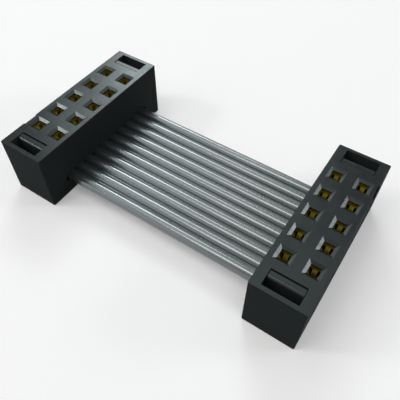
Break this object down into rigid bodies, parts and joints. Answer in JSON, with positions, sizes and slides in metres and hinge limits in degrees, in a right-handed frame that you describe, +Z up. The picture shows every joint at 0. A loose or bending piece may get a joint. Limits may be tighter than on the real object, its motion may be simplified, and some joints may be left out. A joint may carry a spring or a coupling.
{
  "type": "idc ribbon cable assembly",
  "caption": "Short flat ridged ribbon cable with a black socket connector pressed on each end, latched covers underneath and square sockets facing up.",
  "frame": {"origin": "middle of the assembly, on the plane that both covers stand on", "axes": "+X along the ribbon towards the right connector, +Y along the connectors, +Z up, the way the sockets face"},
  "size_m": [0.0254, 0.014, 0.0051],
  "materials": {
    "housing": "black glass-filled moulding, smooth",
    "insulation": "grey extruded vinyl, glossy",
    "contact": "gold-plated copper alloy",
    "conductor": "tinned stranded copper"
  },
  "bodies": {
    "root": {"ribbon_insulation": "insulation", "conductor_01": "conductor", "conductor_02": "conductor", "conductor_03": "conductor", "conductor_04": "conductor", "conductor_05": "conductor", "conductor_06": "conductor", "conductor_07": "conductor", "conductor_08": "conductor", "conductor_09": "conductor", "conductor_10": "conductor", "socket_body_left": "housing", "cover_left": "housing", "contact_left_01": "contact", "contact_left_02": "contact", "contact_left_03": "contact", "contact_left_04": "contact", "contact_left_05": "contact", "contact_left_06": "contact", "contact_left_07": "contact", "contact_left_08": "contact", "contact_left_09": "contact", "contact_left_10": "contact", "socket_body_right": "housing", "cover_right": "housing", "contact_right_01": "contact", "contact_right_02": "contact", "contact_right_03": "contact", "contact_right_04": "contact", "contact_right_05": "contact", "contact_right_06": "contact", "contact_right_07": "contact", "contact_right_08": "contact", "contact_right_09": "contact", "contact_right_10": "contact"}
  },
  "joints": []
}
